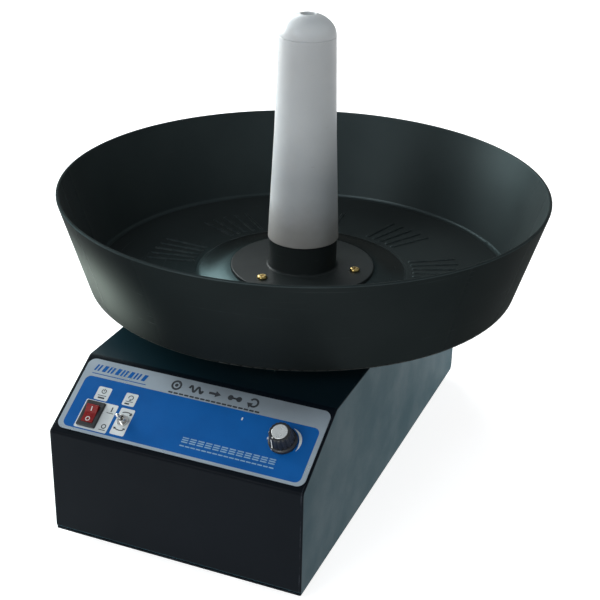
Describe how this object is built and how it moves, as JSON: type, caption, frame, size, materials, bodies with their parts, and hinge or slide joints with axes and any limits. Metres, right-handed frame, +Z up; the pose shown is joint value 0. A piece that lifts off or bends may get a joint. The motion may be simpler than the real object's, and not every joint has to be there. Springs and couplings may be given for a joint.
{
  "type": "automatic wire feeder turntable",
  "caption": "Motor-driven turntable pan with a central tapered post for paying wire off a coil, on a low sheet-metal cabinet with a sloped control panel.",
  "frame": {"origin": "on the bench, under the centre of the machine's footprint", "axes": "+X to the operator's right, +Y away from the operator, +Z up along the spindle"},
  "size_m": [0.3972, 0.4346, 0.358],
  "materials": {
    "black_powder_coat": "satin near-black powder coat on folded steel sheet, fine orange peel",
    "pan_plastic": "semi-gloss near-black moulded plastic with a faint green cast",
    "post_plastic": "off-white turned nylon, slightly translucent",
    "hub_black": "black satin enamel on turned steel",
    "brass": "plain brass, slightly tarnished",
    "zinc_steel": "bright zinc plate",
    "steel": "ground and turned steel",
    "cast_grey": "machined casting",
    "aluminium": "turned aluminium",
    "chrome": "bright nickel plate",
    "rubber": "black moulded rubber",
    "belt_rubber": "black fabric-backed belt rubber",
    "label_silver": "silver-grey printed film with a blue field",
    "black_plastic": "black moulded plastic, semi-gloss",
    "red_plastic": "translucent red rocker plastic",
    "board_green": "green solder-resist board",
    "terminal_green": "green moulded terminal block",
    "motor_paint": "dark grey enamel"
  },
  "bodies": {
    "cabinet": {"cabinet_wrap": "black_powder_coat", "left_side_plate": "black_powder_coat", "right_side_plate": "black_powder_coat", "base_plate": "black_powder_coat", "base_screws": "zinc_steel", "rubber_feet": "rubber", "foot_screws": "zinc_steel", "foot_nuts": "zinc_steel", "control_label": "label_silver", "rocker_housing": "black_plastic", "toggle_switch_body": "chrome", "toggle_nut": "chrome", "potentiometer": "zinc_steel", "potentiometer_nut": "chrome", "bearing_housing": "cast_grey", "housing_screws": "zinc_steel", "bearing_outer_rings": "steel", "drive_belt": "belt_rubber", "motor_bracket": "zinc_steel", "bracket_screws": "zinc_steel", "bracket_nuts": "zinc_steel", "gearbox": "cast_grey", "gearbox_screws": "zinc_steel", "motor_can": "motor_paint", "motor_end_cap": "black_plastic", "control_board": "board_green", "board_standoffs": "brass", "board_screws": "zinc_steel", "board_heat_sink": "aluminium", "board_capacitor": "black_plastic", "board_relay": "black_plastic", "board_terminal_block": "terminal_green", "mains_inlet": "black_plastic", "mains_inlet_pins": "zinc_steel", "mains_inlet_screws": "zinc_steel", "mains_inlet_nuts": "zinc_steel", "fuse_holder": "black_plastic", "fuse_cap": "black_plastic"},
    "turntable": {"pan": "pan_plastic", "hub_flange": "hub_black", "hub_screws": "brass", "post": "post_plastic", "post_tie_bolt": "steel", "turntable_plate": "aluminium", "turntable_set_screws": "steel", "spindle_spacer": "steel", "spindle": "steel", "spindle_circlip": "steel", "bearing_inner_rings": "steel", "bearing_balls": "steel", "spindle_pulley": "aluminium", "spindle_pulley_set_screws": "steel"},
    "motor_shaft": {"motor_shaft": "steel", "motor_pulley": "aluminium", "motor_pulley_set_screw": "steel"},
    "rocker": {"rocker_button": "red_plastic"},
    "toggle": {"toggle_lever": "chrome"},
    "knob": {"speed_knob": "black_plastic", "knob_cap": "aluminium", "potentiometer_shaft": "aluminium"}
  },
  "joints": [
    {"name": "turntable_spin", "type": "hinge", "parent": "cabinet", "child": "turntable", "pos_m": [0, 0.0185, 0.1412], "axis": [0, 0, 1], "continuous": true},
    {"name": "motor_shaft_spin", "type": "hinge", "parent": "cabinet", "child": "motor_shaft", "pos_m": [0, 0.1, 0.0425], "axis": [0, 0, 1], "continuous": true},
    {"name": "rocker_press", "type": "hinge", "parent": "cabinet", "child": "rocker", "pos_m": [-0.0746, -0.20019, 0.10242], "axis": [-1, 0, 0], "range_deg": [0, 20]},
    {"name": "toggle_throw", "type": "hinge", "parent": "cabinet", "child": "toggle", "pos_m": [-0.0484, -0.20106, 0.10514], "axis": [-1, 0, 0], "range_deg": [0, 24]},
    {"name": "speed_knob_turn", "type": "hinge", "parent": "cabinet", "child": "knob", "pos_m": [0.072, -0.18716, 0.10945], "axis": [0, 0.4985, -0.8669], "range_deg": [0, 300]}
  ],
  "couplings": [
    {"joint": "motor_shaft_spin", "follows": "turntable_spin", "ratio": 2.5}
  ]
}
